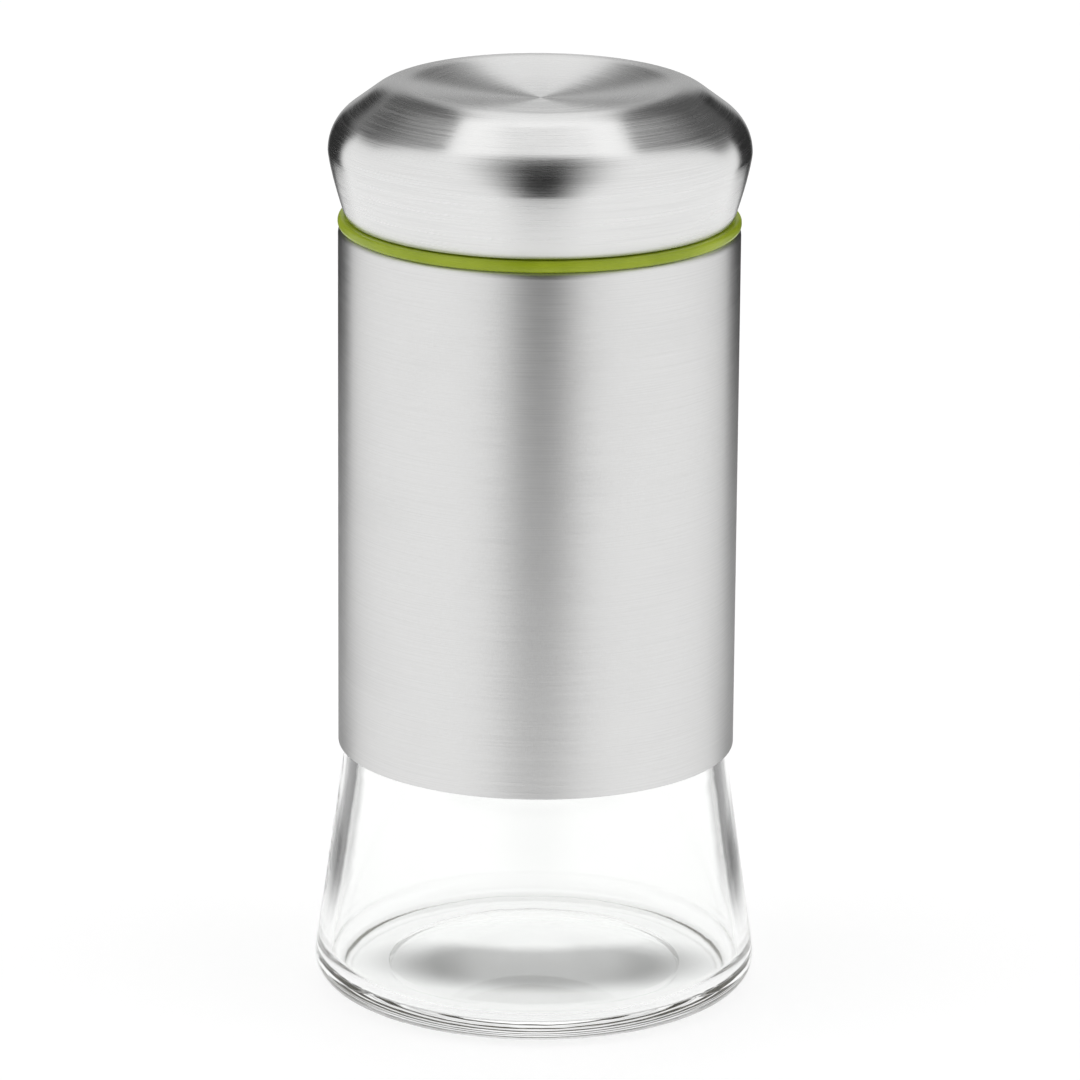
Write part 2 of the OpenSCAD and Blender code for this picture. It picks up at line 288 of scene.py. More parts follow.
class Wires:
    """Adds nodes to one node tree and links them."""

    def __init__(self, tree: bpy.types.NodeTree) -> None:
        """Starts with an empty tree."""
        self.tree = tree
        tree.nodes.clear()

    def add(self, kind: str, inputs: Mapping[str | int, object] | None = None,
            **settings: object) -> bpy.types.Node:
        """Adds one node.

        Args:
            kind: The node's type, without the leading ShaderNode.
            inputs: For each input, by name or number, a socket to link or a value to set.
            **settings: The node's own properties.

        Returns:
            The node.
        """
        node = self.tree.nodes.new(kind if kind.startswith("Node") else "ShaderNode" + kind)
        for key, value in settings.items():
            setattr(node, key, value)
        for key, value in (inputs or {}).items():
            if isinstance(value, Socket):
                self.tree.links.new(value, node.inputs[key])
            else:
                node.inputs[key].default_value = value
        return node

    def math(self, operation: str, first: Socket | float, *others: Socket | float) -> Socket:
        """The result of one Math node, or of a chain that takes in one more value at each node."""
        for other in others or (0.0,):
            first = self.add("Math", {0: first, 1: other}, operation=operation).outputs[0]
        return first

    def times(self, *factors: Socket | float) -> Socket:
        """All the factors multiplied."""
        return self.math("MULTIPLY", *factors)

    def away(self, value: Socket, middle: float) -> Socket:
        """How far a value lies from a middle one."""
        return self.math("ABSOLUTE", self.math("SUBTRACT", value, middle))

    def length(self, x: Socket, y: Socket) -> Socket:
        """How long the flat vector (x, y) is."""
        flat = self.add("CombineXYZ", {0: x, 1: y}).outputs[0]
        return self.add("VectorMath", {0: flat}, operation="LENGTH").outputs["Value"]

    def ease(self, value: Socket, start: float, end: float, low: float = 0.0,
             high: float = 1.0) -> Socket:
        """Runs smoothly from low to high while the value runs from start to end."""
        limits = dict(enumerate((value, start, end, low, high)))
        return self.add("MapRange", limits, interpolation_type="SMOOTHSTEP").outputs[0]

    def place(self, kind: str) -> tuple[Socket, Sequence[Socket]]:
        """Texture coordinates of a kind, whole and split into x, y and z."""
        whole = self.add("TexCoord").outputs[kind]
        return whole, self.add("SeparateXYZ", {0: whole}).outputs

    def noise(self, span: Span, **inputs: Socket | float) -> Socket:
        """A noise's value, stretched so that the span runs from 0 to 1."""
        node = self.add("TexNoise", {key.capitalize(): value for key, value in inputs.items()})
        return self.ease(node.outputs[0], *span)

    def blend(self, share: Socket, a: Colour, b: Colour) -> Socket:
        """A colour between a and b."""
        return self.add("Mix", {0: share, 6: a, 7: b}, data_type="RGBA").outputs[2]

    def bump(self, height: Socket, strength: float, depth: float) -> Socket:
        """The normal of a surface that a height of up to the given depth roughens."""
        node = self.add("Bump", {"Height": height, "Strength": strength, "Distance": depth})
        return node.outputs[0]

    def light(self, kind: str, level: Socket | float) -> Socket:
        """White light of a level, from a Background or an Emission node."""
        return self.add(kind, {"Color": grey(1.0), "Strength": level}).outputs[0]

    def mix(self, share: Socket, a: Socket, b: Socket) -> Socket:
        """A shader between a and b."""
        return self.add("MixShader", {0: share, 1: a, 2: b}).outputs[0]


class Effect(ABC):
    """A shader node group that more than one finish uses."""

    name: str
    inputs: Mapping[str, float]
    outputs: Sequence[str]

    def group(self) -> bpy.types.NodeTree:
        """Builds the group the first time that it is asked for.

        Returns:
            The group.
        """
        if self.name in bpy.data.node_groups:
            return bpy.data.node_groups[self.name]
        tree = bpy.data.node_groups.new(self.name, "ShaderNodeTree")
        for label, value in self.inputs.items():
            socket = tree.interface.new_socket(label, in_out="INPUT", socket_type="NodeSocketFloat")
            socket.default_value = value
        for label in self.outputs:
            tree.interface.new_socket(label, in_out="OUTPUT", socket_type="NodeSocketFloat")
        wires = Wires(tree)
        results = self.wire(wires, wires.add("NodeGroupInput").outputs)
        wires.add("NodeGroupOutput", dict(zip(self.outputs, results)))
        return tree

    @abstractmethod
    def wire(self, wires: Wires, given: Mapping[str, Socket]) -> Sequence[Socket]:
        """Adds the group's nodes and returns its outputs in order."""

    def place(self, wires: Wires, **values: float) -> Mapping[str, Socket]:
        """Places the group in a material with its own values and returns its outputs by name."""
        return wires.add("Group", values, node_tree=self.group()).outputs


class Brushing(Effect):
    """Fine scratches that run round the axis, on walls and on tops alike."""

    name = "brushing_round_the_axis"
    inputs = {"length": 14 * MM, "width": 0.16 * MM}
    outputs = ("streak", "band")
    stretch_and_detail = ((1.0, 3.0), (6.0, 2.0))
    roughness = 0.6
    span = (0.3, 0.7)

    def wire(self, wires: Wires, given: Mapping[str, Socket]) -> Sequence[Socket]:
        """Noise that is stretched along x and y and tight along z minus the radius.

        A circle round the axis keeps z and the radius, so a scratch follows it, and z minus the
        radius always changes from one circle to the next.

        Args:
            wires: The group's nodes.
            given: The group's inputs.

        Returns:
            The fine scratches and the wider bands.
        """
        x, y, z = wires.place("Object")[1]
        fall = wires.math("SUBTRACT", z, wires.length(x, y))
        results = []
        for stretch, detail in self.stretch_and_detail:
            long = wires.times(given["length"], stretch)
            tight = wires.times(given["width"], stretch)
            spot = wires.add("CombineXYZ", {
                0: wires.math("DIVIDE", x, long), 1: wires.math("DIVIDE", y, long),
                2: wires.math("DIVIDE", fall, tight)}).outputs[0]
            results.append(wires.noise(
                self.span, vector=spot, scale=1.0, detail=detail, roughness=self.roughness))
        return results


@dataclass(frozen=True)
class Clouds(Effect):
    """Noise that runs no special way, with one output for each size that goes in."""

    name: str
    inputs: Mapping[str, float]
    span: Span = (0.3, 0.7)
    detail: float = 3.0
    distortion: float = 0.0

    @property
    def outputs(self) -> Sequence[str]:
        """The sizes' names."""
        return tuple(self.inputs)

    def wire(self, wires: Wires, given: Mapping[str, Socket]) -> Sequence[Socket]:
        """Noise whose scale is 1 over the size."""
        spot = wires.place("Object")[0]
        return [wires.noise(self.span, vector=spot, scale=wires.math("DIVIDE", 1.0, given[label]),
                            detail=self.detail, distortion=self.distortion) for label in self.inputs]


BRUSHING = Brushing()
HANDLING = Clouds("handling_smudges", {"smudge": 18 * MM}, (0.46, 0.74), 5.0, 0.8)
MOULDING = Clouds("moulded_grain", {"grain": 0.25 * MM, "flow": 9 * MM})


# Finishes


class Finish(ABC):
    """What a surface is made of and how it is worked."""

    name: str

    def material(self) -> bpy.types.Material:
        """Builds the finish's material the first time that it is asked for.

        Returns:
            The material.
        """
        if self.name in bpy.data.materials:
            return bpy.data.materials[self.name]
        made = bpy.data.materials.new(self.name)
        made.use_nodes = True
        wires = Wires(made.node_tree)
        wires.add("OutputMaterial", {"Surface": self.shader(wires)})
        return made

    @abstractmethod
    def shader(self, wires: Wires) -> Socket:
        """Adds the material's nodes and returns its shader."""

    def on(self, obj: bpy.types.Object) -> None:
        """Puts the finish on all of an object."""
        obj.data.materials.clear()
        obj.data.materials.append(self.material())


@dataclass(frozen=True)
class BrushedSteel(Finish):
    """Stainless sheet, brushed round the axis, so that it spreads light across the scratches."""

    name: str
    dark: Colour = (0.72, 0.72, 0.715, 1.0)
    light: Colour = (0.82, 0.82, 0.815, 1.0)
    sharp: float = 0.34
    dull: float = 0.46
    smudge_dull: float = 0.03
    anisotropy: float = 0.85
    quarter_turn: float = 0.25
    edge_tint: float = 1.0
    streak_share: float = 0.8
    strength: float = 0.5
    depth: float = 0.004 * MM

    def shader(self, wires: Wires) -> Socket:
        """Scratches vary the tone, the gloss and the height, and smudges dull the gloss a little.

        Args:
            wires: The material's nodes.

        Returns:
            The shader.
        """
        marks = BRUSHING.place(wires)
        smudge = HANDLING.place(wires)["smudge"]
        mixed = wires.math("ADD", wires.times(marks["streak"], self.streak_share),
                           wires.times(marks["band"], 1 - self.streak_share))
        gloss = wires.math("ADD", wires.ease(mixed, 0.0, 1.0, self.sharp, self.dull),
                           wires.times(smudge, self.smudge_dull))
        tangent = wires.add("Tangent", direction_type="RADIAL", axis="Z")
        return wires.add("BsdfPrincipled", {
            "Base Color": wires.blend(mixed, self.dark, self.light), "Metallic": 1.0,
            "Roughness": gloss, "Anisotropic": self.anisotropy,
            "Anisotropic Rotation": self.quarter_turn, "Specular Tint": grey(self.edge_tint),
            "Tangent": tangent.outputs[0],
            "Normal": wires.bump(marks["streak"], self.strength, self.depth)}).outputs[0]


@dataclass(frozen=True)
class ClearGlass(Finish):
    """Clear soda-lime glass with the faint waviness of a fire-polished pressing."""

    name: str
    tint: Colour = (0.99, 0.995, 0.99, 1.0)
    index: float = 1.5
    wave: float = 14 * MM
    wave_strength: float = 0.6
    wave_depth: float = 0.02 * MM
    smudge: float = 25 * MM
    smudge_dull: float = 0.02

    def shader(self, wires: Wires) -> Socket:
        """Glass that bends light for all rays but shadow rays, which pass straight through.

        Args:
            wires: The material's nodes.

        Returns:
            The shader.
        """
        flow = MOULDING.place(wires, flow=self.wave)["flow"]
        smudge = HANDLING.place(wires, smudge=self.smudge)["smudge"]
        glass = wires.add("BsdfPrincipled", {
            "Base Color": self.tint, "Metallic": 0.0, "Transmission Weight": 1.0, "IOR": self.index,
            "Roughness": wires.times(smudge, self.smudge_dull),
            "Normal": wires.bump(flow, self.wave_strength, self.wave_depth)})
        clear = wires.add("BsdfTransparent", {"Color": self.tint})
        shadow = wires.add("LightPath").outputs["Is Shadow Ray"]
        return wires.mix(shadow, glass.outputs[0], clear.outputs[0])


@dataclass(frozen=True)
class Moulded(Finish):
    """A moulded plastic, rubber, foam or adhesive."""

    name: str
    dark: Colour
    light: Colour
    sharp: float
    dull: float
    grain: float = 0.25 * MM
    depth: float = 0.006 * MM
    strength: float = 0.5
    index: float = 1.45

    def shader(self, wires: Wires) -> Socket:
        """Flow varies the tone, grain varies the height, and both vary the gloss.

        Args:
            wires: The material's nodes.

        Returns:
            The shader.
        """
        marks = MOULDING.place(wires, grain=self.grain)
        both = wires.math("DIVIDE", wires.math("ADD", marks["grain"], marks["flow"]), 2.0)
        return wires.add("BsdfPrincipled", {
            "Base Color": wires.blend(marks["flow"], self.dark, self.light), "IOR": self.index,
            "Roughness": wires.ease(both, 0.0, 1.0, self.sharp, self.dull),
            "Normal": wires.bump(marks["grain"], self.strength, self.depth)}).outputs[0]


SLEEVE_STEEL = BrushedSteel("sleeve_brushed_steel", dark=(0.74, 0.74, 0.735, 1.0),
                            light=(0.85, 0.85, 0.845, 1.0), edge_tint=0.45)
CAP_STEEL = BrushedSteel("cap_brushed_steel", sharp=0.19, dull=0.28, anisotropy=0.92)
GLASS = ClearGlass("jar_clear_glass")
GREEN_SILICONE = Moulded("ring_green_silicone", (0.37, 0.485, 0.011, 1), (0.48, 0.6, 0.03, 1),
                         0.28, 0.38)
WHITE_PLASTIC = Moulded("insert_white_plastic", (0.76, 0.76, 0.73, 1), (0.84, 0.84, 0.81, 1),
                        0.38, 0.5)
LINER_PLASTIC = Moulded("liner_grey_plastic", (0.62, 0.62, 0.6, 1), (0.71, 0.71, 0.69, 1), 0.4, 0.52)
SEAL_FOAM = Moulded("seal_white_foam", (0.8, 0.8, 0.77, 1), (0.9, 0.9, 0.87, 1), 0.75, 0.9,
                    grain=0.5 * MM, depth=0.05 * MM)
ADHESIVE = Moulded("cured_adhesive", (0.7, 0.64, 0.48, 1), (0.8, 0.76, 0.62, 1), 0.3, 0.45,
                   grain=1.5 * MM, depth=0.05 * MM)


# Sub-assemblies


@dataclass
class SubAssembly(ABC):
    """Pieces that belong together, with the sizes that shape them."""

    finishes: ClassVar[tuple[Finish, ...]]
    bonds: ClassVar[tuple[str, ...]] = ()
    pieces: list[bpy.types.Object] = field(default_factory=list, init=False)
    segments: int = 288

    @abstractmethod
    def build(self) -> None:
        """Builds the pieces' meshes."""

    def dress(self) -> None:
        """Puts the finishes on the pieces, in order, and adhesive on the CAD nodes that stay."""
        for obj, finish in zip(self.pieces, self.finishes):
            finish.on(obj)
        for node in self.bonds:
            ADHESIVE.on(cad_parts[node])

    def keep(self, surface: Surface, name: str, node: str, body: Body, slot: str,
             weld: float = 0.0) -> None:
        """Makes a piece of a surface.

        Args:
            surface: The piece's surface.
            name: The piece's name.
            node: The CAD node that it stands for.
            body: The body that it rides on.
            slot: Not used.
            weld: Distance within which its points are made one, or 0 to leave them.
        """
        obj = surface.to_object(name, weld=weld)
        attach(obj, body.value)
        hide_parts(node)
        self.pieces.append(obj)
        LOG.info("%s: %d points, stands for %s", name, len(obj.data.vertices), node)


@dataclass
class GlassJar(SubAssembly):
    """The jar: flared foot with a hollow base, straight body, and a neck with a thread."""

    finishes = (GLASS,)
    reach: Reach = Reach.of("glass_jar")
    body_radius: float = 26.1 * MM
    wall: float = 2.2 * MM
    heel: float = 3.3 * MM
    flare_top: float = 33.4 * MM
    flare_blend: float = 30 * MM
    shoulder: float = 105.4 * MM
    shoulder_round: float = 1.2 * MM
    shelf_flat: float = 0.7 * MM
    floor: float = 2.2 * MM
    floor_fillet: float = 3.0 * MM
    stand: float = 6.9 * MM
    stand_round: float = 1.0 * MM
    hollow: float = 2.6 * MM
    neck_radius: float = 21.0 * MM
    neck_start: float = 0.2 * MM
    mouth_radius: float = 18.5 * MM
    mouth_round: float = 0.6 * MM
    lip_round: float = 0.7 * MM
    lip_outer_round: float = 0.665 * MM
    thread: Thread = Thread()
    thread_base: float = 109.07 * MM
    thread_sweep: float = 100.0
    steps: int = 16

    def build(self) -> None:
        """Carries the glass's profile round the axis, with the thread standing out of the neck."""
        angles = turn(self.segments)
        neck = upright(self.neck_radius, np.arange(
            self.shoulder + self.neck_start, self.reach.high - self.lip_round, self.thread.row))
        ridges = self.thread.ridges(neck[:, 1], angles, self.thread_base, 0.0, self.thread_sweep)
        outside, inside = self.outside(), self.inside()
        glass = revolve(np.concatenate([outside, neck, inside]), angles, ridges, len(outside))
        self.keep(glass, "jar_glass", "glass_jar", Body.JAR, "clear_glass")

    def flare(self) -> tuple[Array, Array]:
        """The flare's straight line, which leaves the heel's circle and ends at the body.

        Returns:
            A point on the line, and the way r and z change along it.
        """
        heel = np.array([self.reach.radius - self.heel, self.heel])
        top = np.array([self.body_radius, self.flare_top])
        run = top - heel
        tilt = math.atan2(run[1], run[0]) - math.acos(self.heel / np.linalg.norm(run))
        touch = heel + self.heel * np.array([math.cos(tilt), math.sin(tilt)])
        return top, (top - touch) / (top - touch)[1]

    def outside(self) -> Array:
        """Profile from the middle of the hollow base out to the foot of the neck."""
        top, slope = self.flare()
        return rounded([
            *self.dome(0.0), (top[0] - slope[0] * top[1], 0.0, self.heel), (*top, self.flare_blend),
            (self.body_radius, self.shoulder, self.shoulder_round),
            (self.neck_radius, self.shoulder, 0.0)], steps=self.steps)

    def dome(self, low: float) -> list[Corner]:
        """Corners of the domed middle of the base, from the axis out to the standing ring.

        A sphere of radius (e e + h h) / (2 h) holds both the circle of radius e and the point at
        height h above the circle's middle.

        Args:
            low: Height of the dome's edge.

        Returns:
            The corners; only the last, on the edge, is rounded.
        """
        edge = self.reach.radius - self.heel - self.stand
        ball = (edge ** 2 + self.hollow ** 2) / (2 * self.hollow)
        half = math.degrees(math.asin(edge / ball))
        line = arc((0.0, low + self.hollow - ball), ball, 90, 90 - half).tolist()
        return [*((r, z, 0.0) for r, z in line[:-1]), (*line[-1], self.stand_round)]

    def inside(self) -> Array:
        """Profile over the lip and down the inside to the middle of the floor.

        Returns:
            One row (r, z) for each point.
        """
        (_, top), slope = self.flare()
        inner, high = self.body_radius - self.wall, self.reach.high
        shelf = self.shoulder - self.wall
        edge = inner + slope[0] * (self.floor - top)
        return rounded([
            (self.neck_radius, high - self.lip_round, 0.0),
            (self.neck_radius, high, self.lip_outer_round),
            (self.mouth_radius, high, self.lip_round), (self.mouth_radius, shelf, self.mouth_round),
            (inner, shelf, inner - self.mouth_radius - self.shelf_flat),
            (inner, top, self.flare_blend), (edge, self.floor, self.floor_fillet),
            *self.dome(self.floor)[::-1]], steps=self.steps)


@dataclass
class Sleeve(SubAssembly):
    """The steel sleeve, rolled from sheet and welded at the back, with the adhesive behind it."""

    finishes = (SLEEVE_STEEL,)
    bonds = ("sleeve_bond_lower", "sleeve_bond_upper")
    sheet: float = 0.4 * MM
    lip_radius: float = 24.0 * MM
    bend: float = 0.9 * MM
    edge: float = 0.12 * MM
    seam_angle: float = 90.0
    seam_width: float = 0.16 * MM
    seam_depth: float = 0.05 * MM
    seam_widths: float = 4.0
    seam_steps: int = 32
    steps: int = 10

    def build(self) -> None:
        """Carries the sheet's section round the axis and presses the fine groove of the weld in.

        The groove's depth falls off as exp(-w w), with w the way from the seam in seam widths.
        """
        reach = Reach.of("steel_sleeve")
        inner, lip_under = reach.radius - self.sheet, reach.high - self.sheet
        profile = rounded([
            (inner, reach.low, self.edge), (reach.radius, reach.low, self.edge),
            (reach.radius, reach.high, self.bend), (self.lip_radius, reach.high, self.edge),
            (self.lip_radius, lip_under, self.edge), (inner, lip_under, self.bend - self.sheet)],
            closed=True, steps=self.steps)
        seam = math.radians(self.seam_angle)
        beside = np.linspace(-self.seam_widths, self.seam_widths, self.seam_steps + 1)
        beside = seam + beside[np.abs(beside) > TINY] * self.seam_width / reach.radius
        angles = np.sort(np.concatenate([turn(self.segments), beside]))
        off = (angles - seam) * reach.radius / self.seam_width
        outer = profile[:, 0] > reach.radius - self.sheet / 2
        proud = -self.seam_depth * np.outer(outer, np.exp(-off * off))
        sheet = revolve(profile, angles, proud)
        self.keep(sheet, "sleeve_sheet", "steel_sleeve", Body.JAR, "brushed_sleeve")


@dataclass
class GreenRing(SubAssembly):
    """The silicone ring between the sleeve and the cap."""

    finishes = (GREEN_SILICONE,)
    inner_radius: float = 21.1 * MM
    outer_round: float = 0.65 * MM
    inner_round: float = 0.3 * MM
    steps: int = 12

    def build(self) -> None:
        """Carries the ring's rounded section round the axis."""
        reach = Reach.of("green_ring")
        profile = rounded([
            (self.inner_radius, reach.low, self.inner_round),
            (reach.radius, reach.low, self.outer_round), (reach.radius, reach.high, self.outer_round),
            (self.inner_radius, reach.high, self.inner_round)], closed=True, steps=self.steps)
        ring = revolve(profile, turn(self.segments))
        self.keep(ring, "ring_silicone", "green_ring", Body.JAR, "green_silicone")


@dataclass
class ShakerInsert(SubAssembly):
    """The perforated insert: a plug in the mouth with a flange on the lip and a sunk plate."""

    finishes = (WHITE_PLASTIC,)
    plug_radius: float = 18.4 * MM
    plug_wall: float = 1.2 * MM
    flange: float = 0.9 * MM
    plate_drop: float = 2.9 * MM
    plate: float = 1.0 * MM
    edge: float = 0.3 * MM
    hole_radius: float = 1.25 * MM
    hole_round: float = 0.25 * MM
    hole_pitch: float = 5.2 * MM
    hole_rings: int = 2
    ring_holes: int = 6
    steps: int = 6
    segments: int = 192
    hole_segments: int = 32
    hole_share: float = 0.99
    weld: float = 0.001 * MM

    def build(self) -> None:
        """Joins the turned wall, the two faces of the plate and the walls of the holes."""
        reach = Reach.of("shaker_insert")
        skirt = self.plug_radius - self.plug_wall
        lip = reach.high - self.flange
        top = reach.high - self.plate_drop
        under = top - self.plate
        wall = rounded([
            (skirt, under, 0.0), (skirt, reach.low, self.edge), (self.plug_radius, reach.low, self.edge),
            (self.plug_radius, lip, 0.0), (reach.radius, lip, self.edge),
            (reach.radius, reach.high, self.edge), (skirt, reach.high, self.edge), (skirt, top, 0.0)],
            steps=self.steps)
        outer = self.hole_radius + self.hole_round
        bore = np.concatenate([
            arc((outer, top - self.hole_round), self.hole_round, 90, 180, self.steps),
            arc((outer, under + self.hole_round), self.hole_round, 180, 270, self.steps)])
        rim = revolve(wall, turn(self.segments), closed=False)
        tube = revolve(bore, turn(self.hole_segments), closed=False)
        spots = self.hole_spots()
        holes = [Surface(tube.points + spot, tube.faces) for spot in spots]
        plate = self.plate_face(skirt, outer, spots)
        faces = [Surface(plate.points + (0, 0, top), plate.faces),
                 Surface(plate.points + (0, 0, under), [face[:, ::-1] for face in plate.faces])]
        self.keep(Surface.joined([rim, *holes, *faces]), "insert_moulding", "shaker_insert",
                  Body.JAR, "white_plastic", weld=self.weld)

    def hole_spots(self) -> Array:
        """Middles of the holes: one on the axis, then rings of 6, 12 and so on, evenly spread.

        Returns:
            One row (x, y, 0) for each hole.
        """
        counts = self.ring_holes * np.arange(1, self.hole_rings + 1)
        number = np.concatenate([np.arange(count) for count in counts])
        count = np.repeat(counts, counts)
        angle = FULL_TURN * (number + 1) / count
        radius = count / self.ring_holes * self.hole_pitch
        spots = np.stack([radius * np.cos(angle), radius * np.sin(angle), np.zeros_like(angle)], axis=1)
        return np.concatenate([np.zeros((1, 3)), spots])

    def plate_face(self, radius: float, hole: float, spots: Array) -> Surface:
        """A flat disc with round holes, filled with triangles between its circles.

        A triangle fills a hole if its middle lies within a share of the hole's radius.

        Args:
            radius: Radius of the disc.
            hole: Radius of each hole at the face.
            spots: Middles of the holes.

        Returns:
            The face at height 0, seen from above.
        """
        rim = arc((0.0, 0.0), radius, 0, 360, self.segments)[:-1]
        edge = arc((0.0, 0.0), hole, 0, 360, self.hole_segments)[:-1]
        loops = [rim, *(spots[:, None, :2] + edge)]
        starts = np.cumsum([0] + [len(loop) for loop in loops])
        borders = [np.arange(a, b) for a, b in zip(starts[:-1], starts[1:])]
        edges = np.concatenate([np.stack([border, np.roll(border, -1)], axis=1) for border in borders])
        found = delaunay_2d_cdt(np.concatenate(loops).tolist(), edges.tolist(), [], 0, SAME_POINT)
        flat = np.array([tuple(point) for point in found[0]])
        faces = np.array(found[2])
        off = np.linalg.norm(flat[faces].mean(axis=1)[:, None] - spots[None, :, :2], axis=2)
        fills = (off < self.hole_share * hole).any(axis=1)
        return Surface(np.column_stack([flat, np.zeros(len(flat))]), [faces[~fills]])


@dataclass
class ScrewCap(SubAssembly):
    """The steel cap with its threaded liner, its adhesive pad and the sealing disc."""

    finishes = (CAP_STEEL, LINER_PLASTIC, SEAL_FOAM)
    bonds = ("cap_bond_pad",)
    sheet: float = 0.5 * MM
    base_radius: float = 26.1 * MM
    crown: float = 9.05 * MM
    rim_inset: float = 9.95 * MM
    rim_round: float = 6.8 * MM
    shoulder_round: float = 6.6 * MM
    dish: float = 2.0 * MM
    waist_power: float = 1.3
    steps: int = 40
    hem: float = 1.6 * MM
    hem_round: float = 0.24 * MM
    hem_fold: float = 0.5 * MM / 2.1
    liner_wall: float = 1.2 * MM
    liner_inner: float = 22.4 * MM
    liner_rim: float = 1.2 * MM
    liner_rim_round: float = 0.2 * MM
    liner_roof_round: float = 0.3 * MM
    liner_foot_round: float = 0.4 * MM
    lug: Thread = Thread(ramp=0.2)
    lug_room: Span = (0.4 * MM, 0.2 * MM)
    lug_base: float = 108.95 * MM
    lug_start: float = 38.0
    lug_sweep: float = 24.0
    seal_edge: float = 0.25 * MM

    def build(self) -> None:
        """Carries the sections of the shell, the liner and the seal round the axis."""
        self.shell()
        self.liner()
        self.seal()

    def shell(self) -> None:
        """The spun sheet, from the dish over the rim and the shoulder to the hem."""
        reach = Reach.of("cap_shell")
        hem_z, hem_top = reach.low + self.sheet, reach.low + self.hem_round
        hem_edge = self.base_radius - self.hem
        hem = rounded([
            (self.base_radius, hem_top, 0.0), (self.base_radius, reach.low, self.hem_round),
            (hem_edge, reach.low, self.hem_fold), (hem_edge, hem_z, self.hem_fold),
            (hem_edge + self.sheet, hem_z, 0.0)])
        line = np.concatenate([
            self.line(reach, 0.0, hem_top), hem, self.line(reach, self.sheet, hem_z)[::-1]])
        sheet = revolve(line[::-1], turn(self.segments))
        self.keep(sheet, "cap_sheet", "cap_shell", Body.CAP, "brushed_cap")

    def line(self, reach: Reach, depth: float, end: float) -> Array:
        """A line at a depth inside the sheet, from the axis out over the rim and down to a height.

        The dish is part of a sphere that meets the rim's circle smoothly, a cone touches the
        rim's and the shoulder's circles, and below the widest line the radius falls off by a power
        of the depth.

        Args:
            reach: The shell's reach.
            depth: Depth inside the sheet; 0 is the outside.
            end: Height at which the line ends.

        Returns:
            One row (r, z) for each point.
        """
        rim = np.array([reach.radius - self.rim_inset, reach.high - self.rim_round])
        wide = np.array([reach.radius - self.shoulder_round, reach.high - self.crown])
        run = wide - rim
        slope = math.degrees(math.asin((self.rim_round - self.shoulder_round) / np.linalg.norm(run))
                             + math.atan2(-run[1], run[0]))
        far = (rim[0] ** 2 + self.dish ** 2) / (2 * self.dish)
        ball = far - self.rim_round
        tilt = math.degrees(math.asin(rim[0] / far))
        fall = np.linspace(wide[1], end, self.steps + 1)[1:]
        share = (wide[1] - fall) / (wide[1] - reach.low)
        waist = reach.radius + (self.base_radius - reach.radius) * share ** self.waist_power - depth
        return np.concatenate([
            arc((0.0, reach.high - self.dish + ball), ball + depth, -90, tilt - 90, self.steps),
            arc(rim, self.rim_round - depth, 90 + tilt, 90 - slope)[1:],
            arc(wide, self.shoulder_round - depth, 90 - slope, 0), np.stack([waist, fall], axis=1)])

    def liner(self) -> None:
        """The threaded cup inside the shell, whose lugs stand in from its wall."""
        reach, angles = Reach.of("cap_liner"), turn(self.segments)
        outer, roof = self.liner_inner + self.liner_wall, reach.high - self.liner_wall
        rim = reach.low + self.liner_rim
        wall = upright(self.liner_inner, np.arange(
            roof - self.lug_room[0], reach.low + self.lug_room[1], -self.lug.row))
        ceiling = rounded([
            (0.0, roof, 0.0), (self.liner_inner, roof, self.liner_roof_round), (*wall[0], 0.0)])
        shell = rounded([
            (self.liner_inner, reach.low, 0.0), (reach.radius, reach.low, self.liner_rim_round),
            (reach.radius, rim, self.liner_rim_round), (outer, rim, self.liner_foot_round),
            (outer, reach.high, self.liner_wall / 2), (0.0, reach.high, 0.0)])
        lugs = self.lug.ridges(wall[:, 1], angles, self.lug_base, self.lug_start, self.lug_sweep)
        cup = revolve(np.concatenate([ceiling, wall, shell]), angles, -lugs, len(ceiling))
        self.keep(cup, "liner_moulding", "cap_liner", Body.CAP, "liner_plastic")

    def seal(self) -> None:
        """The foam disc in the liner's roof, with softly rounded edges."""
        reach = Reach.of("cap_seal_disc")
        profile = rounded([
            (0.0, reach.low, 0.0), (reach.radius, reach.low, self.seal_edge),
            (reach.radius, reach.high, self.seal_edge), (0.0, reach.high, 0.0)])
        disc = revolve(profile, turn(self.segments))
        self.keep(disc, "seal_foam", "cap_seal_disc", Body.SEAL, "sealing_foam")


# Studio


@dataclass(frozen=True)
class Band:
    """A stretch of angles to both sides of straight back, in degrees, with soft edges."""

    middle: float
    half: float
    soft: float = 4.0

    def share(self, wires: Wires, angle: Socket, low: float = 0.0, high: float = 1.0) -> Socket:
        """Runs from low for an angle outside the band to high for one inside it."""
        outside, inside = math.radians(self.half + self.soft), math.radians(self.half - self.soft)
        return wires.ease(wires.away(angle, math.radians(self.middle)), outside, inside, low, high)


CORNERS = Band(28.5, 16.5)
# Angles of the painted dark cards on the table top, which rays through the glass and reflections see.
PAINTED_CARDS = Band(31.0, 14.0)


